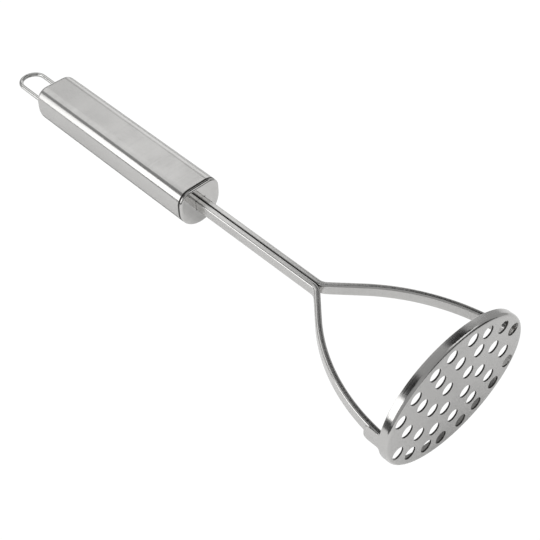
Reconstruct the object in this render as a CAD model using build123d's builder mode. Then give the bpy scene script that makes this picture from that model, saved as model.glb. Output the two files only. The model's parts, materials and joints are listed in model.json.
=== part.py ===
"""Stainless steel potato masher with a perforated oval head, two bent bars and a hollow handle.

Millimetres. The masher lies at rest: on the free edge of the head's rim and on the rear of the handle.
Tool frame: x across the head, y up out of the handle's flat, z along the handle, away from the head.
Row frame: +Z is up, +X runs from the head to the handle, and the origin is the mashing face's centre.
"""
import os
from math import atan2, cos, degrees, radians, sin

from build123d import *

# Head: one pressed sheet, with its rim turned up towards the handle
head_length = 86.2
head_width = 67.2
rim_height = 4.6
head_sheet = 0.8
head_corner = 1.4
rim_edge_round = 0.25
ear_reach = 8.2  # beyond the rim's free edge, at both ends of the head
ear_width = 8.4
ear_corner = 2.4
ear_root = 1.0  # hollow round between an ear and the rim

# Holes: each one's edge on the face is rolled in by the punch
hole_diameter = 6.5
hole_lip = 0.2

# Hole centres in one quarter of the head, as shares of its half length and half width.
# The outer ring leaves room for the feet of the arms at the two ends
inner_ring = ((0.35, 0.0), (0.15, 0.19))
middle_ring = ((0.71, 0.0), (0.52, 0.28), (0.28, 0.46), (0.0, 0.51))
outer_ring = ((0.82, 0.31), (0.63, 0.54), (0.38, 0.70), (0.15, 0.79))

# Bars: two lengths of flat stock, which spread into the arms
bar_thickness = 3.0
bar_height = 6.0
bar_round = 0.9
arm_lean = 3.2  # degrees, at the rim
arm_spread = 42.6  # degrees, below the fork
arm_radius = 100.0
fork_radius = 7.0
foot_gap = 0.12  # between the arm and the hollow side of the ear
tang_length = 24.0  # inside the handle, behind its front cap

# Handle: a closed tube with a flat on top
handle_front = 161.8  # from the mashing face
handle_length = 118.0
handle_radius = 12.3
flat_height = 10.8  # above the handle's axis
shoulder_round = 7.0
shell_wall = 1.0
seam_round = 0.3
front_cap_thickness = 1.7
front_cap_round = 1.1
rear_cap_thickness = 3.2
rear_cap_round = 2.5
skirt_depth = 5.0
skirt_wall = 1.0
cap_clearance = 0.1

# Hanging loop: one bent wire, whose legs pass through the rear cap
loop_wire = 2.3
loop_width = 15.9  # over the outside of the legs
loop_reach = 28.4  # from the rear cap to the outside of the bend
loop_leg_inside = 8.0

# Weld metal
arm_weld_leg = 2.0
crotch_weld_start = 12.0  # degrees round the fork's bend, from where the bars part
crotch_weld_end = 27.0
crotch_weld_hollow = 3.0
crotch_weld_height = 3.6
tang_weld_leg = 1.8
loop_weld_leg = 1.4
weld_cut = 0.8  # share of a weld's leg that its outer corner is cut back by
passage_clearance = 0.1  # around a bar or a leg where it passes through a cap

# Places along the axis
handle_rear = handle_front + handle_length
shell_front = handle_front + front_cap_thickness
shell_rear = handle_rear - rear_cap_thickness

# At rest the rim's free edge and the handle's underside stand on one level
rest_angle = degrees(
    atan2(head_width / 2 - handle_radius, handle_rear - rear_cap_round - rim_height)
)
tool = Plane(
    origin=(0, 0, 0),
    x_dir=(0, 1, 0),
    z_dir=(cos(radians(rest_angle)), 0, -sin(radians(rest_angle))),
)
plan = Plane(origin=tool.origin, x_dir=tool.z_dir, z_dir=tool.y_dir)  # x along the axis, y across
middle = Plane(origin=tool.origin, x_dir=tool.z_dir, z_dir=tool.x_dir)
axis = Axis(origin=tool.origin, direction=tool.z_dir)


def hole_centres():
    """Centres of all the holes: the quarter's own, mirrored across the head's length and width."""
    places = set()
    for along, across in inner_ring + middle_ring + outer_ring:
        x = along * head_length / 2
        y = across * head_width / 2
        places.update({(x, y), (-x, y), (x, -y), (-x, -y)})
    return sorted(places)


def handle_outline(inset=0.0):
    """Face for the handle's section, inset all round: a half circle below and a flat on top."""
    radius = handle_radius - inset
    top = flat_height - inset
    with BuildSketch() as outline:
        with BuildLine():
            under = CenterArc((0, 0), radius, 180, 180)
            Polyline(under @ 1, (radius, top), (-radius, top), under @ 0)
        make_face()
        fillet(outline.vertices().group_by(Axis.Y)[-1], shoulder_round - inset)
    return outline.sketch


# ---------------------------------------------------------------- head
# The sheet's wall is as high as the ears, and is then cut down to the rim between them
ear_top = rim_height + ear_reach

with BuildPart() as head_plate:
    with BuildSketch(tool):
        Ellipse(head_length / 2, head_width / 2)
    extrude(amount=ear_top)
    face_edge = head_plate.edges().sort_by(axis)[0]
    fillet(face_edge, head_corner)
    offset(amount=-head_sheet, openings=head_plate.faces().sort_by(axis)[-1])
    with BuildSketch(middle) as side_view:
        Rectangle(2 * rim_height, 2 * head_width)
        Rectangle(2 * ear_top, ear_width)
        free_corners = side_view.vertices().group_by(Axis.X)[-1]
        roots = side_view.vertices().group_by(Axis.X)[-2].sort_by(Axis.Y)[1:3]
        fillet(free_corners, ear_corner)
        fillet(side_view.vertices().sort_by_distance(roots[0])[0], ear_root)
        fillet(side_view.vertices().sort_by_distance(roots[1])[0], ear_root)
    extrude(amount=head_length, both=True, mode=Mode.INTERSECT)
    with BuildSketch(tool):
        with Locations(*hole_centres()):
            Circle(hole_diameter / 2)
    extrude(amount=rim_height, mode=Mode.SUBTRACT)
    hole_edges = head_plate.edges().filter_by(GeomType.CIRCLE).group_by(axis)[0]
    fillet(hole_edges, hole_lip)
    cut_faces = head_plate.faces().filter_by(
        lambda face: face.geom_type in (GeomType.PLANE, GeomType.CYLINDER)
        and tool.to_local_coords(face.center()).Z > rim_height - rim_edge_round
    )
    cut_edges = cut_faces.edges()
    rim_edges = [edge for edge in cut_edges if sum(edge.is_same(other) for other in cut_edges) == 1]
    fillet(rim_edges, rim_edge_round)
head_plate.part.label = "head_plate"

# ---------------------------------------------------------------- bars
foot_offset = head_length / 2 - head_sheet - foot_gap - bar_thickness / 2
stem_offset = bar_thickness / 2
arm_drop = arm_radius * (cos(radians(arm_lean)) - cos(radians(arm_spread)))
fork_drop = fork_radius * (1 - cos(radians(arm_spread)))
straight_run = (foot_offset - arm_drop - fork_drop - stem_offset) / sin(radians(arm_spread))
foot_start = (
    rim_height - bar_round * cos(radians(arm_lean)),
    foot_offset + bar_round * sin(radians(arm_lean)),
)
stem_end = shell_front + tang_length

with BuildPart() as left_bar:
    with BuildLine(plan) as bar_route:
        foot = Line(foot_start, (rim_height, foot_offset))
        arm = JernArc(foot @ 1, foot % 1, arm_radius, arm_lean - arm_spread)
        run = PolarLine(arm @ 1, straight_run, direction=arm % 1)
        fork = JernArc(run @ 1, run % 1, fork_radius, arm_spread)
        Line(fork @ 1, (stem_end, stem_offset))
    with BuildSketch(Plane(origin=bar_route.line @ 0, x_dir=tool.y_dir, z_dir=bar_route.line % 0)):
        RectangleRounded(bar_height, bar_thickness, bar_round)
    sweep(path=bar_route.line)
    split(bisect_by=tool.offset(rim_height), keep=Keep.TOP)
left_bar.part.label = "left_bar"

with BuildPart() as right_bar:
    mirror(left_bar.part, about=middle)
right_bar.part.label = "right_bar"

# ---------------------------------------------------------------- welds outside the handle
# The crotch weld fills the wedge below the fork, between the convex sides of the two bends
bend_start = plan.to_local_coords(fork @ 1).X
inside_bend = fork_radius + stem_offset
weld_arc = crotch_weld_end - crotch_weld_start

with BuildPart() as crotch_weld:
    with BuildSketch(plan):
        with BuildLine():
            left_side = CenterArc((bend_start, inside_bend), inside_bend, 270 - crotch_weld_start, -weld_arc)
            right_side = CenterArc((bend_start, -inside_bend), inside_bend, 90 + crotch_weld_start, weld_arc)
            Line(left_side @ 0, right_side @ 0)
            RadiusArc(left_side @ 1, right_side @ 1, crotch_weld_hollow)
        make_face()
    extrude(amount=crotch_weld_height / 2, both=True)
crotch_weld.part.label = "crotch_weld"

# Each arm weld fills the corner between the foot of the arm and the inside of the rim
with BuildPart() as left_arm_weld:
    with BuildSketch(plan):
        with BuildLine():
            Polyline(
                (rim_height, head_length / 2),
                (rim_height, head_length / 2 - head_sheet - arm_weld_leg),
                (rim_height - arm_weld_leg, head_length / 2),
                close=True,
            )
        make_face()
    extrude(amount=bar_height / 2, both=True)
    with BuildSketch(tool):
        Ellipse(head_length / 2 - head_sheet, head_width / 2 - head_sheet)
    extrude(amount=rim_height, mode=Mode.INTERSECT)
left_arm_weld.part.label = "left_arm_weld"

with BuildPart() as right_arm_weld:
    mirror(left_arm_weld.part, about=middle)
right_arm_weld.part.label = "right_arm_weld"

# ---------------------------------------------------------------- handle
with BuildPart() as handle_shell:
    with BuildSketch(tool.offset(shell_front)):
        add(handle_outline())
        add(handle_outline(shell_wall), mode=Mode.SUBTRACT)
    extrude(amount=shell_rear - shell_front)
    front_face = handle_shell.faces().sort_by(axis)[0]
    fillet(front_face.outer_wire().edges(), seam_round)
handle_shell.part.label = "handle_shell"

skirt_inset = shell_wall + cap_clearance

with BuildPart() as front_cap:
    with BuildSketch(tool.offset(handle_front)):
        add(handle_outline())
    extrude(amount=front_cap_thickness)
    fillet(front_cap.faces().sort_by(axis)[0].edges(), front_cap_round)
    fillet(front_cap.faces().sort_by(axis)[-1].edges(), seam_round)
    with BuildSketch(tool.offset(shell_front)):
        add(handle_outline(skirt_inset))
        add(handle_outline(skirt_inset + skirt_wall), mode=Mode.SUBTRACT)
    extrude(amount=skirt_depth)
    with BuildSketch(tool.offset(handle_front)):
        Rectangle(2 * (bar_thickness + passage_clearance), bar_height + 2 * passage_clearance)
    extrude(amount=front_cap_thickness, mode=Mode.SUBTRACT)
front_cap.part.label = "front_cap"

with BuildPart() as tang_weld:
    with BuildSketch(tool.offset(shell_front)):
        Rectangle(2 * (bar_thickness + tang_weld_leg), bar_height + 2 * tang_weld_leg)
        Rectangle(2 * bar_thickness, bar_height, mode=Mode.SUBTRACT)
    extrude(amount=tang_weld_leg)
    weld_toes = tang_weld.faces().sort_by(axis)[-1].outer_wire().edges()
    chamfer(weld_toes, tang_weld_leg * weld_cut)
tang_weld.part.label = "tang_weld"

leg_offset = (loop_width - loop_wire) / 2
loop_height = (flat_height - handle_radius) / 2  # the middle of the section's height
leg_places = [(leg_offset, loop_height), (-leg_offset, loop_height)]

with BuildPart() as rear_cap:
    with BuildSketch(tool.offset(shell_rear)):
        add(handle_outline())
    extrude(amount=rear_cap_thickness)
    fillet(rear_cap.faces().sort_by(axis)[-1].edges(), rear_cap_round)
    with BuildSketch(tool.offset(shell_rear)):
        add(handle_outline(skirt_inset))
        add(handle_outline(skirt_inset + skirt_wall), mode=Mode.SUBTRACT)
    extrude(amount=-skirt_depth)
    with BuildSketch(tool.offset(shell_rear)):
        with Locations(*leg_places):
            Circle(loop_wire / 2 + passage_clearance)
    extrude(amount=rear_cap_thickness, mode=Mode.SUBTRACT)
rear_cap.part.label = "rear_cap"

with BuildPart() as hanging_loop:
    with BuildLine(plan.offset(loop_height)) as loop_route:
        leg_start = handle_rear - loop_leg_inside
        leg_end = handle_rear + loop_reach - loop_width / 2
        first_leg = Line((leg_start, leg_offset), (leg_end, leg_offset))
        bend = JernArc(first_leg @ 1, first_leg % 1, leg_offset, -180)
        Line(bend @ 1, (leg_start, -leg_offset))
    with BuildSketch(Plane(origin=loop_route.line @ 0, z_dir=loop_route.line % 0)):
        Circle(loop_wire / 2)
    sweep(path=loop_route.line)
hanging_loop.part.label = "hanging_loop"

with BuildPart() as loop_welds:
    with BuildSketch(tool.offset(shell_rear)):
        with Locations(*leg_places):
            Circle(loop_wire / 2 + loop_weld_leg)
            Circle(loop_wire / 2, mode=Mode.SUBTRACT)
    extrude(amount=-loop_weld_leg)
    bead_toes = loop_welds.edges().filter_by(GeomType.CIRCLE).group_by(axis)[0].group_by(SortBy.RADIUS)[-1]
    chamfer(bead_toes, loop_weld_leg * weld_cut)
loop_welds.part.label = "loop_welds"

# ---------------------------------------------------------------- files
pieces = [
    head_plate,
    left_bar,
    right_bar,
    left_arm_weld,
    right_arm_weld,
    crotch_weld,
    front_cap,
    tang_weld,
    handle_shell,
    rear_cap,
    hanging_loop,
    loop_welds,
]
os.makedirs("parts", exist_ok=True)
for piece in pieces:
    export_step(piece.part, f"parts/{piece.part.label}.step")
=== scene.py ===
"""Looks of the stainless steel potato masher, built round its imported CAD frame.

Metres, in the same frame as the CAD. Shapes are worked out along the masher's own axes, which are
across the head, up out of the handle's flat, and along the handle away from the mashing face.
"""
import json
import logging
import math
from dataclasses import dataclass
from enum import Enum

import bpy
import numpy as np
from mathutils import Matrix, Vector


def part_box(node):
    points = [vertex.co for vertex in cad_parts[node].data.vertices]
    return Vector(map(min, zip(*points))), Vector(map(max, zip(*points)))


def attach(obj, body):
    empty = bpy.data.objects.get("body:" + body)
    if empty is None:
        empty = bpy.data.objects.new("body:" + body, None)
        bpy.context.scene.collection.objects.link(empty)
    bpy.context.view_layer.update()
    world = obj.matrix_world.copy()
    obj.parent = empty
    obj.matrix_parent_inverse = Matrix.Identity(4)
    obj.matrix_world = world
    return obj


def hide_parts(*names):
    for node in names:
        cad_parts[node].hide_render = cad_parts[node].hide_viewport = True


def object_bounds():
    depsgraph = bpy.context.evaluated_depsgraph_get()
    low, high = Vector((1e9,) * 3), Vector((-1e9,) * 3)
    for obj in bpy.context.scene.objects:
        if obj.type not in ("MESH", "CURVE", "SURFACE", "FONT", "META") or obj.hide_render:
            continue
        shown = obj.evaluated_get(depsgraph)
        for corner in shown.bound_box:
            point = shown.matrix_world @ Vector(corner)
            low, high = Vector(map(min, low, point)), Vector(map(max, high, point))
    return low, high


log = logging.getLogger("masher")
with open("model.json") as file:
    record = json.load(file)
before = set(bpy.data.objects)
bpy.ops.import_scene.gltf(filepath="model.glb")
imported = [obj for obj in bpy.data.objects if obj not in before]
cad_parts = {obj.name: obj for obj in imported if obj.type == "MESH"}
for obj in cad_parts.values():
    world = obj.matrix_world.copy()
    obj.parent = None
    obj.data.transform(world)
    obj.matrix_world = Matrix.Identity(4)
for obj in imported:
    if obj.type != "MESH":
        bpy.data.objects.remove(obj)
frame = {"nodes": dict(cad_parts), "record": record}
cad_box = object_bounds()

BODY = "root"
MM = 0.001
# near-black colour of the painted shade in seams, on punched hole walls and on the rim's inside
PAINTED_SHADE_COLOUR = (0.07, 0.068, 0.065, 1.0)
PAINTED_SHADE_ROUGHNESS = 0.3  # roughness added where the painted shade lies
RIM_INSIDE_SHARE = 0.5  # how strong the painted shade on the rim's inside is, beside a punched wall
STREAK_SHARE = 0.16  # spacing of fine lines beside that of broad streaks
SMUDGE_SHARE = 0.5  # how much smudges add to the roughness beside streaks
RUBBED_POLISH = 0.4  # share of the roughness that rubbing takes away
SCRATCH_DEPTH = 1.5  # beside the grain's own depth
Colour = tuple[float, float, float]


# ---------------------------------------------------------------- axes
@dataclass(frozen=True)
class ToolAxes:
    """The masher's own axes inside the row frame, whose origin they share.

    Attributes:
        across: unit vector along the head's length.
        up: unit vector out of the handle's flat.
        along: unit vector from the mashing face to the hanging loop.
    """

    across: np.ndarray
    up: np.ndarray
    along: np.ndarray

    @classmethod
    def from_record(cls, record: dict) -> "ToolAxes":
        """Reads the axes off the mashing face's mount, which points out of the face.

        Args:
            record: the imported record.

        Returns:
            The axes. Up is square to the other two.
        """
        face = next(m for m in record["mounts"] if m["name"] == "mashing_face")
        along = -np.array(face["axis"], float)
        along /= np.linalg.norm(along)
        across = np.array([0.0, 1.0, 0.0])
        return cls(across=across, up=np.cross(along, across), along=along)

    @property
    def tilt(self) -> float:
        """Angle in radians by which the handle's axis dips below the row frame's X."""
        return math.atan2(-self.along[2], self.along[0])

    def to_row(self, across: np.ndarray, up: np.ndarray, along: np.ndarray) -> np.ndarray:
        """Points in the row frame for three arrays of distances, which are broadcast together.

        Args:
            across: distances along the head's length.
            up: distances out of the handle's flat.
            along: distances from the mashing face.

        Returns:
            An array of points, with the three coordinates last.
        """
        distances = np.broadcast_arrays(across, up, along)
        axes = (self.across, self.up, self.along)
        return sum(d[..., None] * axis for d, axis in zip(distances, axes))

    def reach(self, node: str) -> tuple[np.ndarray, np.ndarray]:
        """How far a CAD node reaches along the masher's axes.

        Args:
            node: the node's name.

        Returns:
            Its lowest and its highest (across, up, along).
        """
        mesh = frame["nodes"][node].data
        places = np.empty(len(mesh.vertices) * 3)
        mesh.vertices.foreach_get("co", places)
        places = places.reshape(-1, 3) @ np.stack([self.across, self.up, self.along], axis=1)
        return places.min(axis=0), places.max(axis=0)


AXES = ToolAxes.from_record(frame["record"])


# ---------------------------------------------------------------- outlines and surfaces
@dataclass(frozen=True)
class Arc:
    """One round stretch of an outline. Straight stretches join the ends of its arcs.

    Attributes:
        centre: the arc's centre.
        radius: its radius.
        start: the angle in degrees where it starts, anticlockwise from the first axis.
        end: the angle in degrees where it ends.
    """

    centre: tuple[float, float]
    radius: float
    start: float
    end: float


@dataclass(frozen=True)
class Outline:
    """A closed outline made of arcs, sampled as whole arrays.

    Attributes:
        points: (n, 2) places on the outline.
        normals: (n, 2) unit vectors out of it.
    """

    points: np.ndarray
    normals: np.ndarray

    @classmethod
    def from_arcs(cls, arcs: list[Arc], steps: int) -> "Outline":
        """Samples each arc as centre + radius * (cos, sin) at evenly spaced angles.

        Args:
            arcs: the outline's arcs, anticlockwise.
            steps: how many spans each arc has.

        Returns:
            The outline, with one point for every angle.
        """
        angles = np.radians([np.linspace(a.start, a.end, steps + 1) for a in arcs])
        normals = np.stack([np.cos(angles), np.sin(angles)], axis=-1)
        centres = np.array([a.centre for a in arcs])[:, None, :]
        radii = np.array([a.radius for a in arcs])[:, None, None]
        points = centres + radii * normals
        return cls(points.reshape(-1, 2), normals.reshape(-1, 2))

    def around(self) -> np.ndarray:
        """Distance of each point round the outline, with the whole length round at the end."""
        spans = np.linalg.norm(np.roll(self.points, -1, axis=0) - self.points, axis=1)
        return np.concatenate([[0.0], np.cumsum(spans)])


def rounded_rectangle(width: float, height: float, radius: float, steps: int = 8) -> Outline:
    """A rectangle about the origin whose four corners are quarter circles.

    Args:
        width: size along the first axis.
        height: size along the second axis.
        radius: the corners' radius.
        steps: spans in each corner.

    Returns:
        The outline.
    """
    x, y = width / 2 - radius, height / 2 - radius
    corners = ((x, y, 0), (-x, y, 90), (-x, -y, 180), (x, -y, 270))
    return Outline.from_arcs([Arc((cx, cy), radius, a, a + 90) for cx, cy, a in corners], steps)


def circle(radius: float, steps: int = 40) -> Outline:
    """A circle about the origin, whose last point stops one span short of its first.

    Args:
        radius: the circle's radius.
        steps: how many points it has.

    Returns:
        The outline.
    """
    return Outline.from_arcs([Arc((0.0, 0.0), radius, 0, 360 - 360 / steps)], steps - 1)


@dataclass
class Surface:
    """A grid of points in the row frame, closed into a solid's skin.

    Attributes:
        points: (rows, columns, 3) places. The columns run round a closed outline.
        lengthwise: (rows) or (rows, columns) distance along the surface, for its map.
        around: (columns + 1) distance round the outline, for its map.
        ring: True if the last row joins the first one, so that the skin needs no ends.
        edge: (columns) how near each column is to the middle of a worn edge, from 0 to 1.
    """

    points: np.ndarray
    lengthwise: np.ndarray
    around: np.ndarray
    ring: bool = False
    edge: np.ndarray | None = None

    def faces(self) -> tuple[list[list[int]], np.ndarray]:
        """Quads between each row and the next, and a face over each open end.

        Returns:
            The faces' point numbers, and the (column, row) of each of their corners as
            steps along and round the map.
        """
        rows, columns = self.points.shape[:2]
        spans = rows if self.ring else rows - 1
        row, column = np.meshgrid(np.arange(spans), np.arange(columns), indexing="ij")
        along = np.stack([row, row + 1, row + 1, row], axis=-1).reshape(-1, 4)
        round_ = np.stack([column, column, column + 1, column + 1], axis=-1).reshape(-1, 4)
        corners = (along % rows) * columns + round_ % columns
        faces = corners.tolist()
        steps = np.stack([along, round_], axis=-1).reshape(-1, 2)
        if not self.ring:
            first = np.arange(columns)
            last = (rows - 1) * columns + first[::-1]
            faces += [first.tolist(), last.tolist()]
            ends = [np.stack([f // columns, f % columns], axis=-1) for f in (first, last)]
            steps = np.concatenate([steps, *ends])
        return faces, steps

    def encloses(self, faces: list[list[int]]) -> float:
        """Volume inside the faces: the sum over quads of a box product, over six.

        Args:
            faces: the faces' point numbers.

        Returns:
            The volume, which is negative where the faces point inwards.
        """
        flat = self.points.reshape(-1, 3)
        flat = flat - flat.mean(axis=0)
        quads = np.array([f for f in faces if len(f) == 4])
        a, b, c, d = (flat[quads[:, i]] for i in range(4))
        both = np.cross(b, c) + np.cross(c, d)
        return float((a * both).sum() / 6)

    def to_object(self, name: str, crease: float = 40.0) -> bpy.types.Object:
        """Puts the surface into a mesh with its faces outwards, a map and soft shading.

        Args:
            name: the piece's name.
            crease: angle in degrees past which two faces meet at a sharp edge.

        Returns:
            The new object, at the origin.
        """
        faces, steps = self.faces()
        rows, columns = self.points.shape[:2]
        if self.encloses(faces) < 0:
            starts = np.cumsum([0] + [len(f) for f in faces[:-1]])
            order = np.concatenate(
                [start + np.arange(len(f))[::-1] for start, f in zip(starts, faces)]
            )
            steps = steps[order]
            faces = [f[::-1] for f in faces]
        mesh = bpy.data.meshes.new(name)
        mesh.from_pydata(self.points.reshape(-1, 3).tolist(), [], faces)
        layer = mesh.uv_layers.new(name="finish_map")
        lengthwise = self.lengthwise
        if lengthwise.ndim == 1:
            lengthwise = np.repeat(lengthwise[:, None], columns + 1, axis=1)
        places = np.stack([lengthwise[steps[:, 0], steps[:, 1]], self.around[steps[:, 1]]], axis=-1)
        layer.data.foreach_set("uv", places.astype(np.float32).ravel())
        edge = np.zeros(columns) if self.edge is None else self.edge
        worn = mesh.attributes.new("worn_edge", "FLOAT", "POINT")
        worn.data.foreach_set("value", np.tile(edge, rows).astype(np.float32))
        mesh.shade_smooth()
        mesh.set_sharp_from_angle(angle=math.radians(crease))
        mesh.validate()
        piece = bpy.data.objects.new(name, mesh)
        bpy.context.scene.collection.objects.link(piece)
        weigh = piece.modifiers.new("even shading", "WEIGHTED_NORMAL")
        weigh.keep_sharp = True
        return piece


@dataclass(frozen=True)
class Route:
    """A line in a plane of the across and along axes, with its direction at each point.

    Attributes:
        across: distances along the head's length.
        along: distances from the mashing face.
        heading: angle in radians from along towards across.
    """

    across: np.ndarray
    along: np.ndarray
    heading: np.ndarray

    def length(self) -> np.ndarray:
        """Distance of each point from the route's start."""
        spans = np.hypot(np.diff(self.across), np.diff(self.along))
        return np.concatenate([[0.0], np.cumsum(spans)])

    def carry(self, outline: Outline, height: float = 0.0) -> np.ndarray:
        """Carries an outline along the route, square to it.

        A point of the outline lies its first coordinate to the route's left, which is
        (cos heading, -sin heading) in across and along, and its second one above it.

        Args:
            outline: the section.
            height: how far up the route lies.

        Returns:
            (points of the route, points of the outline, 3) as across, up and along.
        """
        side, rise = outline.points[:, 0], outline.points[:, 1]
        across = self.across[:, None] + np.cos(self.heading)[:, None] * side
        along = self.along[:, None] - np.sin(self.heading)[:, None] * side
        return np.stack([across, np.broadcast_to(height + rise, across.shape), along], axis=-1)


def join_routes(parts: list[Route]) -> Route:
    """One route out of several, each of which starts where the one before it ended.

    Args:
        parts: the routes, in order.

    Returns:
        The joined route, with each shared point kept once.
    """
    kept = [parts[0]] + [Route(p.across[1:], p.along[1:], p.heading[1:]) for p in parts[1:]]
    return Route(
        np.concatenate([p.across for p in kept]),
        np.concatenate([p.along for p in kept]),
        np.concatenate([p.heading for p in kept]),
    )


def straight(start: tuple[float, float], heading: float, length: float, spans: int) -> Route:
    """A straight stretch: start + distance * (sin heading, cos heading).

    Args:
        start: its (across, along).
        heading: its direction, in radians from along towards across.
        length: its length.
        spans: how many spans it has.

    Returns:
        The route.
    """
    far = np.linspace(0.0, length, spans + 1)
    return Route(
        start[0] + far * math.sin(heading),
        start[1] + far * math.cos(heading),
        np.full(spans + 1, heading),
    )


def turned(start: tuple[float, float], heading: float, radius: float, turn: float, spans: int) -> Route:
    """A round stretch: the centre lies a radius to the side it turns to, and the heading grows evenly.

    Args:
        start: its (across, along).
        heading: its direction where it starts, in radians from along towards across.
        radius: its radius.
        turn: how far it turns, in radians; more than 0 turns it towards across.
        spans: how many spans it has.

    Returns:
        The route.
    """
    headings = heading + np.linspace(0.0, turn, spans + 1)
    side = math.copysign(radius, turn)
    across = start[0] + side * (math.cos(heading) - np.cos(headings))
    along = start[1] + side * (np.sin(headings) - math.sin(heading))
    return Route(across, along, headings)


def dress(piece: bpy.types.Object, finish: "SteelFinish", *stands_for: str) -> bpy.types.Object:
    """Gives a new piece its finish and its place in the frame.

    Args:
        piece: the new piece.
        finish: the finish it wears.
        stands_for: the CAD nodes that it is shown instead of.

    Returns:
        The piece.
    """
    piece.data.materials.append(finish.material())
    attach(piece, BODY)
    if stands_for:
        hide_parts(*stands_for)
    log.info("%s: %d faces, %s", piece.name, len(piece.data.polygons), finish.name)
    return piece


def dress_node(node: str, finish: "SteelFinish") -> None:
    """Gives a CAD node that stays in view a finish.

    Args:
        node: the node's name.
        finish: the finish it wears.
    """
    for holder in frame["nodes"][node].material_slots:
        holder.material = finish.material()
    log.info("%s: CAD shape, %s", node, finish.name)


# ---------------------------------------------------------------- shader groups
class Sheet:
    """A node tree, with short ways to add nodes to it and to link them."""

    def __init__(self, tree: bpy.types.NodeTree) -> None:
        """Works on the given tree."""
        self.tree = tree

    def add(self, kind: str, **settings: object) -> bpy.types.Node:
        """Adds a node.

        Args:
            kind: the node's type.
            settings: its properties.

        Returns:
            The node.
        """
        node = self.tree.nodes.new(kind)
        for key, value in settings.items():
            setattr(node, key, value)
        return node

    def feed(self, socket: bpy.types.NodeSocket, value: object) -> None:
        """Links another node's output to a socket, or sets the socket to a plain value.

        Args:
            socket: the input.
            value: an output socket, a number or a tuple.
        """
        if isinstance(value, bpy.types.NodeSocket):
            self.tree.links.new(value, socket)
        else:
            socket.default_value = value

    def math(self, operation: str, *values: object, clamp: bool = False) -> bpy.types.NodeSocket:
        """A Math node's result.

        Args:
            operation: what it does.
            values: its inputs.
            clamp: True to keep the result from 0 to 1.

        Returns:
            Its output.
        """
        node = self.add("ShaderNodeMath", operation=operation, use_clamp=clamp)
        for socket, value in zip(node.inputs, values):
            self.feed(socket, value)
        return node.outputs[0]

    def vector(self, operation: str, *values: object, result: str = "Vector") -> bpy.types.NodeSocket:
        """A Vector Math node's result.

        Args:
            operation: what it does.
            values: its inputs.
            result: the name of its output.

        Returns:
            That output.
        """
        node = self.add("ShaderNodeVectorMath", operation=operation)
        for socket, value in zip(node.inputs, values):
            self.feed(socket, value)
        return node.outputs[result]

    def ramp(
        self, value: object, low: float, high: float, start: float = 0.0, end: float = 1.0
    ) -> bpy.types.NodeSocket:
        """Maps a value smoothly from one range to another.

        Args:
            value: what is mapped.
            low: where the result is start.
            high: where the result is end.
            start: the result at and below low.
            end: the result at and above high.

        Returns:
            The mapped value.
        """
        node = self.add("ShaderNodeMapRange", interpolation_type="SMOOTHSTEP")
        names = ("Value", "From Min", "From Max", "To Min", "To Max")
        for name, given in zip(names, (value, low, high, start, end)):
            self.feed(node.inputs[name], given)
        return node.outputs["Result"]

    def noise(
        self, place: object, scale: object, detail: float, roughness: float = 0.5
    ) -> bpy.types.NodeSocket:
        """A Noise texture's value.

        Args:
            place: where it is read.
            scale: how many features lie in one unit of place.
            detail: how many finer layers it has.
            roughness: how strong those are.

        Returns:
            The value, about a half on average.
        """
        node = self.add("ShaderNodeTexNoise")
        names = ("Vector", "Scale", "Detail", "Roughness")
        for name, given in zip(names, (place, scale, detail, roughness)):
            self.feed(node.inputs[name], given)
        return node.outputs["Fac"]

    def blend(self, share: object, first: object, second: object) -> bpy.types.NodeSocket:
        """Mixes two colours.

        Args:
            share: how much of the second one shows.
            first: the colour at a share of 0.
            second: the colour at a share of 1.

        Returns:
            The mixed colour.
        """
        node = self.add("ShaderNodeMix", data_type="RGBA")
        self.feed(node.inputs[0], share)
        self.feed(node.inputs[6], first)
        self.feed(node.inputs[7], second)
        return node.outputs[2]


def new_group(
    name: str, inputs: dict[str, str], outputs: dict[str, str]
) -> tuple[Sheet, bpy.types.Node, bpy.types.Node]:
    """Starts a shader group with named sockets.

    Args:
        name: the group's name.
        inputs: socket types by name.
        outputs: socket types by name.

    Returns:
        Its sheet, its input node and its output node.
    """
    tree = bpy.data.node_groups.new(name, "ShaderNodeTree")
    for way, sockets in (("INPUT", inputs), ("OUTPUT", outputs)):
        for label, kind in sockets.items():
            tree.interface.new_socket(label, in_out=way, socket_type=f"NodeSocket{kind}")
    sheet = Sheet(tree)
    return sheet, sheet.add("NodeGroupInput"), sheet.add("NodeGroupOutput")


def grain_group() -> bpy.types.NodeTree:
    """Brushed grain: fine lines and broader streaks, long one way and close together the other.

    The group stretches the place it is given, so that one unit of it is one line, and reads
    two layers of noise there.

    Returns:
        The group.
    """
    sheet, given, result = new_group(
        "brushed grain",
        {"Vector": "Vector", "Lines": "Vector", "Streak Share": "Float"},
        {"Fine": "Float", "Streaks": "Float", "Height": "Float"},
    )
    place = sheet.vector("MULTIPLY", given.outputs["Vector"], given.outputs["Lines"])
    fine = sheet.noise(place, 1.0, 2.0, 0.6)
    streaks = sheet.ramp(sheet.noise(place, given.outputs["Streak Share"], 3.0, 0.65), 0.32, 0.68)
    height = sheet.math("MULTIPLY_ADD", streaks, 0.35, fine)
    for label, value in (("Fine", fine), ("Streaks", streaks), ("Height", height)):
        sheet.feed(result.inputs[label], value)
    return sheet.tree


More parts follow.
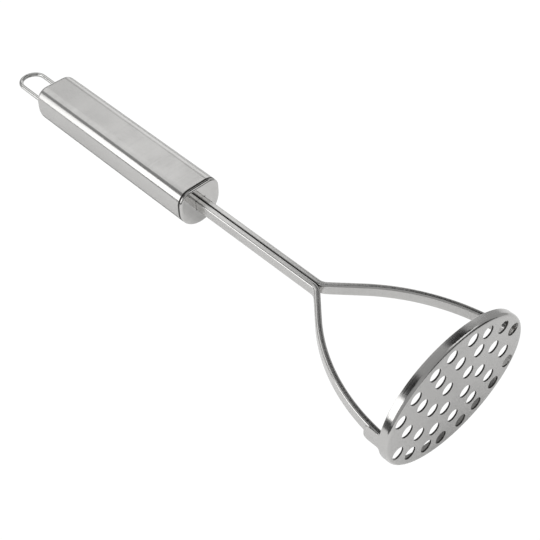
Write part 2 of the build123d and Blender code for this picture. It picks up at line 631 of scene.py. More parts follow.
def handling_group() -> bpy.types.NodeTree:
    """Traces of use: soft smudges, a few stray scratches, and edges rubbed bright.

    Smudges are slow noise. Scratches are the thin crests of a stretched, turned noise. Rubbed
    edges are the edge mask, broken up by the smudges.

    Returns:
        The group.
    """
    sheet, given, result = new_group(
        "handling",
        {"Vector": "Vector", "Edge": "Float", "Amount": "Float"},
        {"Smudges": "Float", "Scratches": "Float", "Rubbed": "Float"},
    )
    smudges = sheet.ramp(sheet.noise(given.outputs["Vector"], 70.0, 3.0), 0.38, 0.66)
    turn = sheet.add("ShaderNodeMapping")
    turn.inputs["Rotation"].default_value = (0.4, 0.7, 1.1)
    turn.inputs["Scale"].default_value = (2600.0, 90.0, 90.0)
    sheet.feed(turn.inputs["Vector"], given.outputs["Vector"])
    crests = sheet.ramp(sheet.noise(turn.outputs["Vector"], 1.0, 0.0), 0.74, 0.80)
    scratches = sheet.math("MULTIPLY", crests, given.outputs["Amount"])
    broken = sheet.math("MULTIPLY_ADD", smudges, -0.4, 1.0)
    rubbed = sheet.math("MULTIPLY", given.outputs["Edge"], broken, clamp=True)
    for label, value in (("Smudges", smudges), ("Scratches", scratches), ("Rubbed", rubbed)):
        sheet.feed(result.inputs[label], value)
    return sheet.tree


def tone_group() -> bpy.types.NodeTree:
    """Steel's colour: two tones mixed by slow clouds, the grain and the rubbed edges.

    Returns:
        The group.
    """
    sheet, given, result = new_group(
        "steel tone",
        {
            "Vector": "Vector", "Light": "Color", "Dark": "Color",
            "Fine": "Float", "Streaks": "Float", "Rubbed": "Float",
        },
        {"Colour": "Color"},
    )
    clouds = sheet.noise(given.outputs["Vector"], 28.0, 2.0)
    lines = sheet.math("MULTIPLY", given.outputs["Fine"], 0.5)
    grain = sheet.math("MULTIPLY_ADD", given.outputs["Streaks"], 0.3, lines)
    share = sheet.math("MULTIPLY_ADD", clouds, 0.4, grain, clamp=True)
    share = sheet.math("MAXIMUM", share, given.outputs["Rubbed"])
    sheet.feed(result.inputs["Colour"], sheet.blend(share, given.outputs["Dark"], given.outputs["Light"]))
    return sheet.tree


def seam_group() -> bpy.types.NodeTree:
    """Painted shade in a seam: strongest at one position along an axis, and gone a width away from it.

    Returns:
        The group.
    """
    sheet, given, result = new_group(
        "seam painted shade", {"Position": "Float", "Seam": "Float", "Width": "Float"}, {"Painted Shade": "Float"}
    )
    past = sheet.math("SUBTRACT", given.outputs["Position"], given.outputs["Seam"])
    away = sheet.math("ABSOLUTE", past)
    near = sheet.ramp(sheet.math("DIVIDE", away, given.outputs["Width"]), 0.45, 1.0, 1.0, 0.0)
    sheet.feed(result.inputs["Painted Shade"], near)
    return sheet.tree


GRAIN = grain_group()
HANDLING = handling_group()
TONE = tone_group()
SEAM = seam_group()


# ---------------------------------------------------------------- finishes
class GrainLayout(Enum):
    """How a finish's lines lie on a piece."""

    ACROSS_HANDLE = "rings square to the handle's axis"
    ROUND_HEAD = "rings round the oval head, on its rim and on its face"
    ACROSS_MAP = "lines square to the piece's own length, from its map"
    NO_LINES = "an even satin with no direction"


class Seam(Enum):
    """The seams where painted shade is laid."""

    CAP = "between the handle and its front cap"
    GROOVE = "between the two bars"

    def line(self) -> tuple[np.ndarray, float, float]:
        """Where the seam lies.

        Returns:
            The axis that it lies across, the distance along that axis, and the painted shade's width.
        """
        if self is Seam.CAP:
            return AXES.along, float(AXES.reach("handle_shell")[0][2]), 0.85 * MM
        return AXES.across, 0.0, 0.55 * MM


@dataclass(frozen=True)
class SteelFinish:
    """One finish of stainless steel.

    Attributes:
        name: the material's name.
        slot: the record's material slot that it stands for; not used.
        layout: how its lines lie.
        light: the lighter of its two tones.
        dark: the darker one.
        roughness: its roughness between the lines.
        spread: how much the grain and the smudges add to the roughness.
        stretch: anisotropy, which draws reflections out square to the lines.
        relief: depth of the grain.
        pitch: distance from one fine line to the next.
        run: length of a fine line.
        wear: how many stray scratches show, from 0 to 1.
        seam: the seam where painted shade is laid, if any.
    """

    name: str
    slot: str
    layout: GrainLayout
    light: Colour = (0.60, 0.595, 0.585)
    dark: Colour = (0.51, 0.505, 0.495)
    roughness: float = 0.17
    spread: float = 0.09
    stretch: float = 0.9
    relief: float = 0.8e-6
    pitch: float = 0.14 * MM
    run: float = 14.0 * MM
    wear: float = 0.4
    seam: Seam | None = None

    def material(self) -> bpy.types.Material:
        """The finish's material, made the first time that it is asked for."""
        made = bpy.data.materials.get(self.name)
        if made is None:
            made = bpy.data.materials.new(self.name)
            made.use_nodes = True
            self.paint(made.node_tree)
        return made

    def place(self, sheet: Sheet) -> bpy.types.NodeSocket:
        """Where the pattern is read: across the lines first, and then along them.

        On the head, the first coordinate is the distance from the face plus an oval radius,
        so the lines run round the rim and round the face alike.

        Args:
            sheet: the material's sheet.

        Returns:
            The place.
        """
        if self.layout is GrainLayout.ACROSS_MAP:
            return sheet.add("ShaderNodeUVMap", uv_map="finish_map").outputs["UV"]
        coordinates = sheet.add("ShaderNodeTexCoord")
        turn = sheet.add("ShaderNodeMapping")
        turn.inputs["Rotation"].default_value = (0.0, -AXES.tilt, 0.0)
        sheet.feed(turn.inputs["Vector"], coordinates.outputs["Object"])
        own = turn.outputs["Vector"]
        if self.layout is not GrainLayout.ROUND_HEAD:
            return own
        half_length, half_width = AXES.reach("head_plate")[1][:2]
        flat = sheet.vector("MULTIPLY", own, (0.0, 1.0, half_length / half_width))
        radius = sheet.vector("LENGTH", flat, result="Value")
        parts = sheet.add("ShaderNodeSeparateXYZ")
        sheet.feed(parts.inputs[0], own)
        joined = sheet.add("ShaderNodeCombineXYZ")
        sheet.feed(joined.inputs["X"], sheet.math("ADD", parts.outputs["X"], radius))
        sheet.feed(joined.inputs["Y"], parts.outputs["Y"])
        sheet.feed(joined.inputs["Z"], parts.outputs["Z"])
        return joined.outputs["Vector"]

    def edge(self, sheet: Sheet) -> bpy.types.NodeSocket:
        """How near a point is to the middle of a rounded edge, from 0 to 1.

        A new piece carries it as an attribute. On a CAD node it is how evenly the surface
        faces along and square to the handle's axis, 4 * c * c * (1 - c * c) for the cosine c
        of the angle between them.

        Args:
            sheet: the material's sheet.

        Returns:
            The nearness.
        """
        if self.layout is GrainLayout.ACROSS_MAP:
            return sheet.add("ShaderNodeAttribute", attribute_name="worn_edge").outputs["Fac"]
        coordinates = sheet.add("ShaderNodeTexCoord")
        normal = coordinates.outputs["Normal"]
        facing = sheet.vector("DOT_PRODUCT", normal, tuple(AXES.along), result="Value")
        square = sheet.math("MULTIPLY", facing, facing)
        rest = sheet.math("SUBTRACT", 1.0, square)
        return sheet.math("MULTIPLY", sheet.math("MULTIPLY", square, rest), 4.0, clamp=True)

    def painted_shade(self, sheet: Sheet, place: bpy.types.NodeSocket) -> bpy.types.NodeSocket | None:
        """Painted shade: near-black, rougher steel in a seam, on punched hole walls and on the rim's
        inside.

        A hole's wall is inside the rim and faces square to the axis. The rim's inside faces
        the axis, so its normal points against its own place in the head's plane.

        Args:
            sheet: the material's sheet.
            place: where its pattern is read.

        Returns:
            The mask, or None where the finish has none.
        """
        # painted shade along the seam, darkest on its line, where shade falls between the parts
        if self.seam is not None:
            own = sheet.add("ShaderNodeTexCoord").outputs["Object"]
            axis, at, width = self.seam.line()
            seam = sheet.add("ShaderNodeGroup", node_tree=SEAM)
            position = sheet.vector("DOT_PRODUCT", own, tuple(axis), result="Value")
            sheet.feed(seam.inputs["Position"], position)
            seam.inputs["Seam"].default_value = at
            seam.inputs["Width"].default_value = width
            return seam.outputs["Painted Shade"]
        if self.layout is not GrainLayout.ROUND_HEAD:
            return None
        # painted shade on the punched hole walls, and at part strength on the rim's inside
        coordinates = sheet.add("ShaderNodeTexCoord")
        normal = coordinates.outputs["Normal"]
        facing = sheet.vector("DOT_PRODUCT", normal, tuple(AXES.along), result="Value")
        wall = sheet.ramp(sheet.math("ABSOLUTE", facing), 0.35, 0.8, 1.0, 0.0)
        own = coordinates.outputs["Object"]
        on_axis = sheet.vector("PROJECT", own, tuple(AXES.along))
        off_axis = sheet.vector("NORMALIZE", sheet.vector("SUBTRACT", own, on_axis))
        against = sheet.vector("DOT_PRODUCT", normal, off_axis, result="Value")
        inside = sheet.ramp(against, -0.6, -0.2, 1.0, 0.0)
        parts = sheet.add("ShaderNodeSeparateXYZ")
        sheet.feed(parts.inputs[0], place)
        rim = AXES.reach("head_plate")[1][0]
        within = sheet.ramp(parts.outputs["X"], rim - 3 * MM, rim - 2 * MM, 1.0, 0.0)
        punched = sheet.math("MULTIPLY", wall, within)
        return sheet.math("MAXIMUM", punched, sheet.math("MULTIPLY", inside, RIM_INSIDE_SHARE))

    def paint(self, tree: bpy.types.NodeTree) -> None:
        """Builds the node tree.

        Args:
            tree: the material's own tree, with its Principled node.
        """
        sheet = Sheet(tree)
        steel = tree.nodes["Principled BSDF"]
        place = self.place(sheet)

        handling = sheet.add("ShaderNodeGroup", node_tree=HANDLING)
        sheet.feed(handling.inputs["Vector"], place)
        sheet.feed(handling.inputs["Edge"], self.edge(sheet))
        handling.inputs["Amount"].default_value = self.wear

        grain = sheet.add("ShaderNodeGroup", node_tree=GRAIN)
        sheet.feed(grain.inputs["Vector"], place)
        even = self.layout is GrainLayout.NO_LINES
        run = self.pitch if even else self.run
        grain.inputs["Lines"].default_value = (1 / self.pitch, 1 / run, 1 / run)
        grain.inputs["Streak Share"].default_value = STREAK_SHARE

        tone = sheet.add("ShaderNodeGroup", node_tree=TONE)
        sheet.feed(tone.inputs["Vector"], place)
        tone.inputs["Light"].default_value = (*self.light, 1.0)
        tone.inputs["Dark"].default_value = (*self.dark, 1.0)
        for label in ("Fine", "Streaks"):
            sheet.feed(tone.inputs[label], grain.outputs[label])
        sheet.feed(tone.inputs["Rubbed"], handling.outputs["Rubbed"])
        # painted shade: near-black steel blended into the colour where the mask lies
        painted_shade = self.painted_shade(sheet, place)
        colour = tone.outputs["Colour"]
        if painted_shade is not None:
            colour = sheet.blend(painted_shade, colour, PAINTED_SHADE_COLOUR)
        sheet.feed(steel.inputs["Base Color"], colour)

        smudges, rubbed = handling.outputs["Smudges"], handling.outputs["Rubbed"]
        uneven = sheet.math("MULTIPLY_ADD", smudges, SMUDGE_SHARE, grain.outputs["Streaks"])
        rough = sheet.math("MULTIPLY_ADD", uneven, self.spread, self.roughness)
        rough = sheet.math("MULTIPLY_ADD", rubbed, -RUBBED_POLISH * self.roughness, rough)
        if painted_shade is not None:
            rough = sheet.math("MULTIPLY_ADD", painted_shade, PAINTED_SHADE_ROUGHNESS, rough)
        sheet.feed(steel.inputs["Roughness"], rough)

        scratches = handling.outputs["Scratches"]
        height = sheet.math("MULTIPLY_ADD", scratches, -SCRATCH_DEPTH, grain.outputs["Height"])
        bump = sheet.add("ShaderNodeBump")
        bump.inputs["Distance"].default_value = self.relief
        sheet.feed(bump.inputs["Height"], height)
        sheet.feed(steel.inputs["Normal"], bump.outputs["Normal"])

        steel.inputs["Metallic"].default_value = 1.0
        if even:
            return
        steel.inputs["Anisotropic"].default_value = self.stretch
        if self.layout is GrainLayout.ACROSS_MAP:
            direction = sheet.add("ShaderNodeTangent", direction_type="UV_MAP", uv_map="finish_map")
        else:
            direction = sheet.add("ShaderNodeTangent", direction_type="RADIAL", axis="X")
            steel.inputs["Anisotropic Rotation"].default_value = 0.25
        sheet.feed(steel.inputs["Tangent"], direction.outputs["Tangent"])


HANDLE_BRUSHED = SteelFinish(
    "handle brushed across", "brushed_steel", GrainLayout.ACROSS_HANDLE, spread=0.06,
    relief=0.5e-6, wear=0.15, seam=Seam.CAP,
)
HEAD_BRUSHED = SteelFinish("head brushed round", "brushed_steel", GrainLayout.ROUND_HEAD, roughness=0.15)
BAR_BRUSHED = SteelFinish(
    "bars brushed across", "brushed_steel", GrainLayout.ACROSS_MAP, roughness=0.14, spread=0.06,
    relief=0.2e-6, run=6.0 * MM, seam=Seam.GROOVE,
)
CAP_POLISHED = SteelFinish(
    "cap polished", "polished_steel", GrainLayout.NO_LINES, roughness=0.05, spread=0.05,
    relief=0.1e-6, pitch=0.5 * MM, seam=Seam.CAP,
)
WIRE_POLISHED = SteelFinish(
    "wire polished", "polished_steel", GrainLayout.NO_LINES, light=(0.56, 0.56, 0.55),
    dark=(0.48, 0.48, 0.47), roughness=0.06, spread=0.05, relief=0.15e-6, pitch=0.6 * MM,
)
WELD_GROUND = SteelFinish(
    "weld ground", "weld_steel", GrainLayout.NO_LINES, light=(0.55, 0.545, 0.53),
    dark=(0.42, 0.41, 0.40), roughness=0.32, spread=0.2, relief=4e-6, pitch=0.3 * MM, wear=0.0,
)


# ---------------------------------------------------------------- head
class Side(Enum):
    """Which of the two arms, and the sign of its places across the head."""

    LEFT = 1
    RIGHT = -1


@dataclass(frozen=True)
class Head:
    """The perforated oval head and the weld metal between its rim and the arms.

    Attributes:
        sheet: thickness of the sheet that it is pressed from.
        weld_leg: size of each weld's two legs.
        weld_width: the weld's length, which is a little more than the bar's height.
        ripple: how far the weld's ripples stand out.
        ripple_pitch: distance from one ripple to the next.
    """

    sheet: float = 0.8 * MM
    weld_leg: float = 2.0 * MM
    weld_width: float = 6.4 * MM
    ripple: float = 0.09 * MM
    ripple_pitch: float = 0.8 * MM

    def build(self) -> None:
        """Dresses the CAD head and builds the two weld beads."""
        dress_node("head_plate", HEAD_BRUSHED)
        for side in Side:
            node = f"{side.name.lower()}_arm_weld"
            dress(self.weld_bead(side).to_object(node + "_bead"), WELD_GROUND, node)

    def weld_bead(self, side: Side) -> Surface:
        """A rippled bead in the corner between the rim's inside and the underside of an arm.

        Its section is a quarter circle about that corner, whose radius is the weld's leg. The
        radius rises and falls with the ripples and shrinks towards both ends, as 1 - t * t to
        the power 0.3 for t from just above -1 to just below 1. The corner follows the rim's
        oval, whose distance from the middle is a * sqrt(1 - (up / b) ** 2).

        Args:
            side: which arm it holds.

        Returns:
            The bead's surface.
        """
        high = AXES.reach("head_plate")[1]
        half_length, half_width = high[0] - self.sheet, high[1] - self.sheet
        rim = AXES.reach("left_bar")[0][2]
        t = np.linspace(-0.995, 0.995, 61)
        rise = t * self.weld_width / 2
        wall = half_length * np.sqrt(1 - (rise / half_width) ** 2)
        ripples = self.ripple * np.cos(2 * np.pi * rise / self.ripple_pitch)
        leg = (self.weld_leg + ripples) * (1 - t * t) ** 0.3
        turn = np.radians(np.linspace(0.0, 90.0, 15))
        inwards = np.concatenate([[0.0], np.cos(turn)])
        below = np.concatenate([[0.0], np.sin(turn)])
        across = side.value * (wall[:, None] - leg[:, None] * inwards)
        along = rim - leg[:, None] * below
        points = AXES.to_row(across, rise[:, None], along)
        around = np.linspace(0.0, self.weld_leg * np.pi / 2, points.shape[1] + 1)
        return Surface(points, rise - rise[0], around)


# ---------------------------------------------------------------- bars
@dataclass(frozen=True)
class Bars:
    """The two flat bars: a tang and a stem, the fork, and an arm that ends inside an ear.

    Attributes:
        thickness: the bar's thickness, in the plane of the arms.
        height: the bar's height.
        corner: radius of its four long edges.
        arm_lean: the arm's angle in degrees from the handle's axis, at the rim.
        arm_spread: its angle in degrees below the fork.
        arm_radius: radius of the arm's bend.
        fork_radius: radius of the fork's bend.
        foot_inset: how far the arm's outside lies inside the head's outside, at its foot.
    """

    thickness: float = 3.0 * MM
    height: float = 6.0 * MM
    corner: float = 0.9 * MM
    arm_lean: float = 3.2
    arm_spread: float = 42.6
    arm_radius: float = 100.0 * MM
    fork_radius: float = 7.0 * MM
    foot_inset: float = 0.92 * MM

    def build(self) -> None:
        """Builds both bars and dresses the weld metal in the crotch."""
        for side in Side:
            node = f"{side.name.lower()}_bar"
            dress(self.bar(side).to_object(node + "_brushed"), BAR_BRUSHED, node)
        dress_node("crotch_weld", WELD_GROUND)

    def route(self) -> Route:
        """The left bar's middle line, from the rim to the end of its tang.

        The arm leans inwards at the rim and bends in to its full spread, a straight run
        follows, and the fork's small bend turns it along the handle. The run is as long as
        the distance that the two bends leave between the rim and the stem.

        Returns:
            The route.
        """
        low, high = AXES.reach("left_bar")
        lean, spread = math.radians(self.arm_lean), math.radians(self.arm_spread)
        foot = (AXES.reach("head_plate")[1][0] - self.foot_inset - self.thickness / 2, low[2])
        arm = turned(foot, -lean, self.arm_radius, lean - spread, 56)
        drop = self.fork_radius * (1 - math.cos(spread))
        run_length = (arm.across[-1] - drop - self.thickness / 2) / math.sin(spread)
        run = straight((arm.across[-1], arm.along[-1]), -spread, run_length, 8)
        fork = turned((run.across[-1], run.along[-1]), -spread, self.fork_radius, spread, 24)
        stem = straight((fork.across[-1], fork.along[-1]), 0.0, high[2] - fork.along[-1], 48)
        return join_routes([arm, run, fork, stem])

    def bar(self, side: Side) -> Surface:
        """A bar's surface: its section is carried along the route, and the foot is cut to the rim.

        The first section slides along the route's direction until all of it lies on the
        plane of the rim's free edge.

        Args:
            side: which bar.

        Returns:
            The surface.
        """
        route = self.route()
        outline = rounded_rectangle(self.thickness, self.height, self.corner)
        places = route.carry(outline)
        slide = (route.along[0] - places[0, :, 2]) / math.cos(route.heading[0])
        places[0, :, 0] += slide * math.sin(route.heading[0])
        places[0, :, 2] += slide * math.cos(route.heading[0])
        points = AXES.to_row(side.value * places[..., 0], places[..., 1], places[..., 2])
        edge = np.abs(2 * outline.normals[:, 0] * outline.normals[:, 1])
        return Surface(points, route.length(), outline.around(), edge=edge)


# ---------------------------------------------------------------- handle
@dataclass(frozen=True)
class Handle:
    """The hollow handle: its shell, the two caps and the weld metal inside.

    Attributes:
        radius: radius of the half round underside, and half the handle's width.
        shoulder: radius of the two long shoulders beside the flat.
        wall: the shell's wall.
        seam: radius of the shell's front edge, where the cap's seam lies.
    """

    radius: float = 12.3 * MM
    shoulder: float = 7.0 * MM
    wall: float = 1.0 * MM
    seam: float = 0.3 * MM

    def build(self) -> None:
        """Builds the shell and dresses the caps and the hidden weld."""
        dress(self.shell().to_object("handle_shell_brushed"), HANDLE_BRUSHED, "handle_shell")
        dress_node("rear_cap", HANDLE_BRUSHED)
        dress_node("front_cap", CAP_POLISHED)
        dress_node("tang_weld", WELD_GROUND)

    def outline(self, top: float) -> Outline:
        """The handle's section: a half circle below, two shoulders and a flat on top.

        Args:
            top: height of the flat above the handle's axis.

        Returns:
            The outline.
        """
        side, high = self.radius - self.shoulder, top - self.shoulder
        arcs = [
            Arc((0.0, 0.0), self.radius, 180, 270),
            Arc((0.0, 0.0), self.radius, 270, 360),
            Arc((side, high), self.shoulder, 0, 90),
            Arc((-side, high), self.shoulder, 90, 180),
        ]
        outline = Outline.from_arcs(arcs, 28)
        apart = np.linalg.norm(np.roll(outline.points, 1, axis=0) - outline.points, axis=1)
        kept = apart > 1e-4 * MM
        return Outline(outline.points[kept], outline.normals[kept])

    def shell(self) -> Surface:
        """The shell as a ring of rows: outside, rear edge, inside and front edge.

        Each row is the outline drawn in by an inset, at a distance along the handle. At the
        front the outside turns in round the seam: the inset is r * (1 - sin a) and the
        distance r * (1 - cos a) for a from 0 to 90 degrees.

        Returns:
            The surface.
        """
        low, high = AXES.reach("handle_shell")
        front, rear = low[2], high[2]
        a = np.radians(np.linspace(0.0, 90.0, 7))
        rows = np.linspace(front + self.seam, rear, 60)
        outside, inside = np.zeros(len(rows) - 1), np.full(len(rows) + 1, self.wall)
        inset = np.concatenate([self.seam * (1 - np.sin(a)), outside, inside])
        along = np.concatenate([front + self.seam * (1 - np.cos(a)), rows[1:], rows[::-1], [front]])
        outline = self.outline(high[1])
        places = outline.points[None, :, :] - inset[:, None, None] * outline.normals[None, :, :]
        points = AXES.to_row(places[..., 0], places[..., 1], along[:, None])
        lengthwise = np.append(along, along[0] - self.wall)
        return Surface(points, lengthwise, outline.around(), ring=True)


@dataclass(frozen=True)
class HangingLoop:
    """The wire loop and the weld beads that hold its legs inside the rear cap.

    Attributes:
        wire: the wire's diameter.
    """

    wire: float = 2.3 * MM

    def build(self) -> None:
        """Builds the wire and dresses its welds."""
        dress(self.loop().to_object("hanging_loop_wire"), WIRE_POLISHED, "hanging_loop")
        dress_node("loop_welds", WELD_GROUND)

    def loop(self) -> Surface:
        """One bent wire: a leg, a half circle and the other leg.

        Returns:
            The surface: a circle carried along that route.
        """
        low, high = AXES.reach("hanging_loop")
        leg = high[0] - self.wire / 2
        length = high[2] - self.wire / 2 - leg - low[2]
        first = straight((leg, low[2]), 0.0, length, 30)
        bend = turned((leg, first.along[-1]), 0.0, leg, -math.pi, 64)
        second = straight((bend.across[-1], bend.along[-1]), math.pi, length, 30)
        route = join_routes([first, bend, second])
        outline = circle(self.wire / 2)
        places = route.carry(outline, height=(low[1] + high[1]) / 2)
        points = AXES.to_row(places[..., 0], places[..., 1], places[..., 2])
        return Surface(points, route.length(), outline.around())


# ---------------------------------------------------------------- studio
def outwards(azimuth: float, elevation: float) -> np.ndarray:
    """The unit vector towards an azimuth from the row frame's +X and an elevation, in degrees."""
    a, e = math.radians(azimuth), math.radians(elevation)
    return np.array([math.cos(a) * math.cos(e), math.sin(a) * math.cos(e), math.sin(e)])


@dataclass(frozen=True)
class Softbox:
    """A soft rectangular light that faces the masher.

    Attributes:
        name: the light's name.
        azimuth: where it stands, in degrees from the row frame's +X towards +Y.
        elevation: how high it stands, in degrees.
        distance: how far it stands from the masher's middle.
        width: its width.
        height: its height.
        radiance: how bright its face is, where 1 is white.
        mirrored: whether it shows in polished steel, or only lights the floor.
        turn: how far it is turned in its own plane, in degrees.
    """

    name: str
    azimuth: float
    elevation: float
    distance: float
    width: float
    height: float
    radiance: float
    mirrored: bool = True
    turn: float = 0.0

    def build(self, middle: Vector) -> None:
        """Makes the light. A flat light's power is pi * area * radiance.

        Args:
            middle: what it faces.
        """
        light = bpy.data.lights.new(self.name, "AREA")
        light.shape = "RECTANGLE"
        light.size, light.size_y = self.width, self.height
        light.energy = math.pi * self.width * self.height * self.radiance
        away = Vector(outwards(self.azimuth, self.elevation))
        holder = bpy.data.objects.new(self.name, light)
        holder.location = middle + away * self.distance
        level = (-away).to_track_quat("-Z", "Y").to_matrix()
        holder.rotation_euler = (level @ Matrix.Rotation(math.radians(self.turn), 3, "Z")).to_euler()
        holder.visible_camera = False
        holder.visible_glossy = self.mirrored
        bpy.context.scene.collection.objects.link(holder)


def mirrored_sheet(name: str, corners: np.ndarray, shade: float) -> None:
    """Makes a flat sheet that only shows in what polished steel mirrors.

    Args:
        name: the sheet's name.
        corners: its four corners, in turn.
        shade: how pale it is, from 0 to 1.
    """
    label = name.replace(" ", "_")
    mesh = bpy.data.meshes.new(label)
    mesh.from_pydata(corners.tolist(), [], [[0, 1, 2, 3]])
    paint = bpy.data.materials.new(name + " paint")
    paint.use_nodes = True
    coat = paint.node_tree.nodes["Principled BSDF"]
    coat.inputs["Base Color"].default_value = (shade, shade, shade, 1.0)
    coat.inputs["Roughness"].default_value = 1.0
    coat.inputs["Specular IOR Level"].default_value = 0.0
    mesh.materials.append(paint)
    sheet = bpy.data.objects.new(label, mesh)
    sheet.visible_camera = sheet.visible_diffuse = sheet.visible_shadow = False
    bpy.context.scene.collection.objects.link(sheet)


@dataclass(frozen=True)
class FloorStrip:
    """A strip that lies on the floor and only shows in polished steel.

    Attributes:
        name: the strip's name.
        low: its corner with the smallest distances along the row frame's +X and +Y, from the
            corner of the box that it is placed by.
        high: its opposite corner, from the same corner of the box.
        shade: how pale it is, from 0 to 1.
        lift: how far it lies above the floor.
    """

    name: str
    low: tuple[float, float]
    high: tuple[float, float]
    shade: float
    lift: float = 0.2 * MM

    def build(self, corner: Vector, floor: float) -> None:
        """Makes the strip.

        Args:
            corner: the corner that it is placed by.
            floor: the floor's height.
        """
        x0, x1 = corner.x + self.low[0], corner.x + self.high[0]
        y0, y1 = corner.y + self.low[1], corner.y + self.high[1]
        height = floor + self.lift
        corners = np.array([[x0, y0, height], [x1, y0, height], [x1, y1, height], [x0, y1, height]])
        mirrored_sheet(self.name, corners, self.shade)


@dataclass(frozen=True)
class DarkCard:
    """A black card that only shows as a dark stripe in polished steel.

    Attributes:
        name: the card's name.
        azimuth: where it stands, in degrees from the row frame's +X towards +Y.
        elevation: how high it stands, in degrees.
        distance: how far it stands from the masher's middle.
        width: its width.
        height: its height.
        shade: how pale it is, from 0 to 1.
    """

    name: str
    azimuth: float
    elevation: float
    distance: float
    width: float
    height: float
    shade: float = 0.02

    def build(self, middle: Vector) -> None:
        """Makes the card: a rectangle square to the line from the middle to its own middle.

        Args:
            middle: what it faces.
        """
        away, level = outwards(self.azimuth, self.elevation), outwards(self.azimuth + 90.0, 0.0)
        side, rise = level * self.width / 2, np.cross(away, level) * self.height / 2
        centre = np.array(middle) + away * self.distance
        signs = np.array([[-1, -1], [1, -1], [1, 1], [-1, 1]])
        corners = centre + signs[:, :1] * side + signs[:, 1:] * rise
        mirrored_sheet(self.name, corners, self.shade)


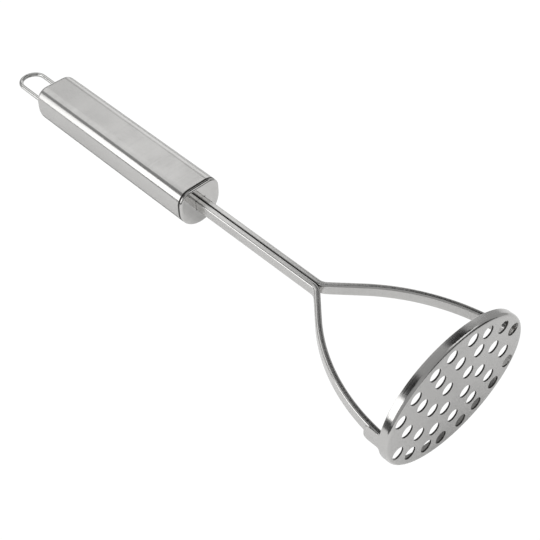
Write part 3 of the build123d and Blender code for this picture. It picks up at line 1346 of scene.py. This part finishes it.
@dataclass(frozen=True)
class Studio:
    """The floor, the lights and the camera.

    Attributes:
        floor_margin: how far the floor reaches past the masher.
        floor_shade: how pale the floor is in what steel mirrors, from 0 to 1.
        azimuth: where the camera stands, in degrees: 0 looks along +Y, 90 along -X.
        elevation: how high the camera stands, in degrees.
        roll: how far the camera is turned about its line of sight, in degrees.
        distance: how far the camera stands from what it aims at.
        aim_along: distance from the mashing face of the point on the handle's axis it aims at.
        aim_across: how far that point lies to the left arm's side.
        lens: focal length in millimetres on a 36 mm sensor.
        ambient: how bright the surroundings are to matt things, where 1 is white.
        mirrored: how bright they are in what steel mirrors.
        backlight: how bright the floor and the surroundings look from the camera.
    """

    floor_margin: float = 0.26
    floor_shade: float = 0.90
    azimuth: float = 223.89
    elevation: float = 48.80
    roll: float = 3.456
    distance: float = 0.5453
    aim_along: float = 0.1052
    aim_across: float = 0.0073
    lens: float = 79.2
    ambient: float = 0.40
    mirrored: float = 0.42
    backlight: float = 1.03

    def build(self) -> None:
        """Builds the whole studio."""
        self.floor()
        self.room()
        self.lights()
        self.camera()

    def floor(self) -> None:
        """An oval floor under the masher, at the lowest point of the CAD box.

        Its edge is middle + reach * (cos t, sin t), where the reach is half the masher's
        own plus the same margin all round. The camera sees it evenly white.
        """
        low, high = cad_box
        middle = (low + high) / 2
        reach = (high - low) / 2 + Vector((self.floor_margin, self.floor_margin, 0.0))
        turn = np.linspace(0.0, 2 * np.pi, 129)[:-1]
        x, y = middle.x + reach.x * np.cos(turn), middle.y + reach.y * np.sin(turn)
        points = np.column_stack([x, y, np.full(len(turn), low.z)])
        mesh = bpy.data.meshes.new("studio_floor")
        mesh.from_pydata(points.tolist(), [], [list(range(len(points)))])
        paint = bpy.data.materials.new("pale floor")
        paint.use_nodes = True
        coat = paint.node_tree.nodes["Principled BSDF"]
        coat.inputs["Roughness"].default_value = 0.9
        coat.inputs["Specular IOR Level"].default_value = 0.1
        sheet = Sheet(paint.node_tree)
        coat.inputs["Emission Color"].default_value = (1.0, 1.0, 1.0, 1.0)
        seen = sheet.add("ShaderNodeLightPath").outputs["Is Camera Ray"]
        paleness = sheet.math("MULTIPLY_ADD", seen, -self.floor_shade, self.floor_shade)
        sheet.feed(coat.inputs["Base Color"], paleness)
        sheet.feed(coat.inputs["Emission Strength"], sheet.math("MULTIPLY", seen, self.backlight))
        mesh.materials.append(paint)
        floor = bpy.data.objects.new("studio_floor", mesh)
        bpy.context.scene.collection.objects.link(floor)

    def room(self) -> None:
        """The surroundings: pale to the eye and to matt things, and dim in what polished steel mirrors."""
        world = bpy.data.worlds.new("studio room")
        world.use_nodes = True
        sheet = Sheet(world.node_tree)
        ways = sheet.add("ShaderNodeLightPath")
        backdrop = world.node_tree.nodes["Background"]
        backdrop.inputs["Color"].default_value = (1.0, 1.0, 1.0, 1.0)
        glossy, camera = ways.outputs["Is Glossy Ray"], ways.outputs["Is Camera Ray"]
        dimmed = self.mirrored - self.ambient
        mirrored = sheet.math("MULTIPLY_ADD", glossy, dimmed, self.ambient)
        seen = sheet.math("MULTIPLY_ADD", camera, self.backlight - self.ambient, mirrored)
        sheet.feed(backdrop.inputs["Strength"], seen)
        bpy.context.scene.world = world
        bpy.context.scene.view_settings.view_transform = "Standard"

    def lights(self) -> None:
        """Softboxes all round, two lights for the floor, and dark sheets that draw dark bands."""
        middle = (cad_box[0] + cad_box[1]) / 2
        for box in (
            Softbox("side softbox", 60.3, 15.5, 0.95, 0.86, 0.58, 1.9, turn=4.0),
            Softbox("rear softbox", -12.5, 41.0, 1.20, 1.04, 0.52, 0.81),
            Softbox("right softbox", -51.4, 14.2, 0.93, 0.50, 0.46, 0.8),
            Softbox("front softbox", 233.0, 48.0, 1.10, 0.62, 0.50, 1.0),
            Softbox("key light", 100.0, 68.0, 0.38, 0.50, 0.15, 3.8, mirrored=False),
            Softbox("fill light", -150.0, 62.0, 0.40, 0.30, 0.15, 0.9, mirrored=False),
        ):
            box.build(middle)
        for card in (
            DarkCard("left card", 62.0, 49.0, 0.95, 0.55, 0.42),
            DarkCard("right card", -84.0, 58.0, 0.80, 0.75, 0.34),
            DarkCard("front card", 208.0, 8.0, 0.60, 0.50, 0.26),
        ):
            card.build(middle)
        head_end, handle_front = Vector(cad_box[0]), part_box("handle_shell")[0]
        head_end.y, handle_front.y = cad_box[1].y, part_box("handle_shell")[1].y
        for strip, corner in (
            (FloorStrip("left strip", (-0.1975, 0.1069), (0.4525, 0.5569), 0.10), head_end),
            (FloorStrip("handle shade", (0.0079, -0.0623), (0.1379, -0.0003), 0.50), handle_front),
        ):
            strip.build(corner, cad_box[0].z)

    def camera(self) -> None:
        """The camera, which looks at its aim from the azimuth and elevation and is then rolled."""
        aim = Vector(AXES.to_row(np.array(self.aim_across), np.array(0.0), np.array(self.aim_along)))
        away = Vector(outwards(self.azimuth - 90.0, self.elevation))
        data = bpy.data.cameras.new("studio camera")
        data.lens, data.sensor_width = self.lens, 36.0
        data.clip_start, data.clip_end = 0.01, 50.0
        camera = bpy.data.objects.new("studio camera", data)
        level = (-away).to_track_quat("-Z", "Y").to_matrix()
        rolled = level @ Matrix.Rotation(math.radians(self.roll), 3, "Z")
        camera.matrix_world = Matrix.Translation(aim + away * self.distance) @ rolled.to_4x4()
        bpy.context.scene.collection.objects.link(camera)
        bpy.context.scene.camera = camera


def main() -> None:
    """Builds the masher's looks and its studio."""
    logging.basicConfig(level=logging.INFO, format="%(message)s")
    for assembly in (Head(), Bars(), Handle(), HangingLoop()):
        assembly.build()
    Studio().build()
    bpy.context.view_layer.update()


if __name__ == "__main__":
    main()
